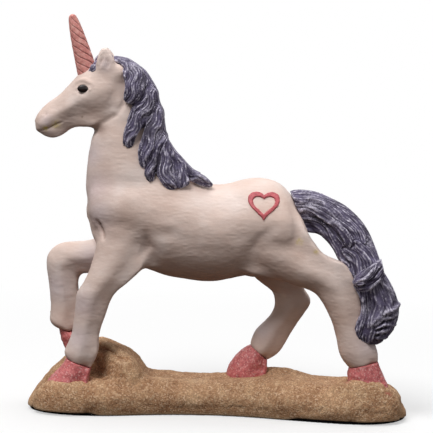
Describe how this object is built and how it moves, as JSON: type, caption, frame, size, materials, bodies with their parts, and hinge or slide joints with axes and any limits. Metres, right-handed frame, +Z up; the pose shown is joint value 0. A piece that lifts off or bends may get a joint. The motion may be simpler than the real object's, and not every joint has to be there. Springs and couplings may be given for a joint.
{
  "type": "unicorn figurine",
  "caption": "Walking unicorn figurine with a spiral horn, a flowing mane and tail, and a raised heart on its flank, on a sandy oval base with a felt pad",
  "frame": {"origin": "Under the middle of the felt pad, on the surface that the figurine stands on", "axes": "+Z up, the unicorn looks towards -X, its left side is -Y"},
  "size_m": [0.1902, 0.0508, 0.1972],
  "materials": {
    "body_white": "hand painted matt resin, off-white",
    "hair_purple": "dark purple-grey paint, dry brushed with lilac",
    "horn_pink": "dusty pink paint with darker grooves",
    "hoof_pink": "pink paint with fine glitter",
    "heart_rose": "rose paint on a raised line",
    "eye_black": "gloss black paint",
    "sand": "sand coloured, grainy",
    "felt": "black felt",
    "pin_steel": "plain steel rod"
  },
  "bodies": {
    "root": {"trunk": "body_white", "neck": "body_white", "head": "body_white", "left_ear": "body_white", "right_ear": "body_white", "left_fore_leg": "body_white", "right_fore_leg": "body_white", "left_hind_leg": "body_white", "right_hind_leg": "body_white", "mane_crest": "hair_purple", "forelock": "hair_purple", "tail_upper": "hair_purple", "tail_lower": "hair_purple", "tail_twist": "hair_purple", "mane_lock_1": "hair_purple", "mane_lock_2": "hair_purple", "mane_lock_3": "hair_purple", "mane_lock_4": "hair_purple", "mane_lock_5": "hair_purple", "mane_lock_6": "hair_purple", "mane_lock_7": "hair_purple", "far_mane_lock_1": "hair_purple", "far_mane_lock_2": "hair_purple", "far_mane_lock_3": "hair_purple", "horn": "horn_pink", "left_fore_hoof": "hoof_pink", "right_fore_hoof": "hoof_pink", "left_hind_hoof": "hoof_pink", "right_hind_hoof": "hoof_pink", "flank_heart": "heart_rose", "left_eye": "eye_black", "right_eye": "eye_black", "sand_base": "sand", "felt_pad": "felt", "leg_rods": "pin_steel", "neck_pin": "pin_steel", "head_pin": "pin_steel", "horn_pin": "pin_steel", "tail_pin": "pin_steel"}
  },
  "joints": []
}
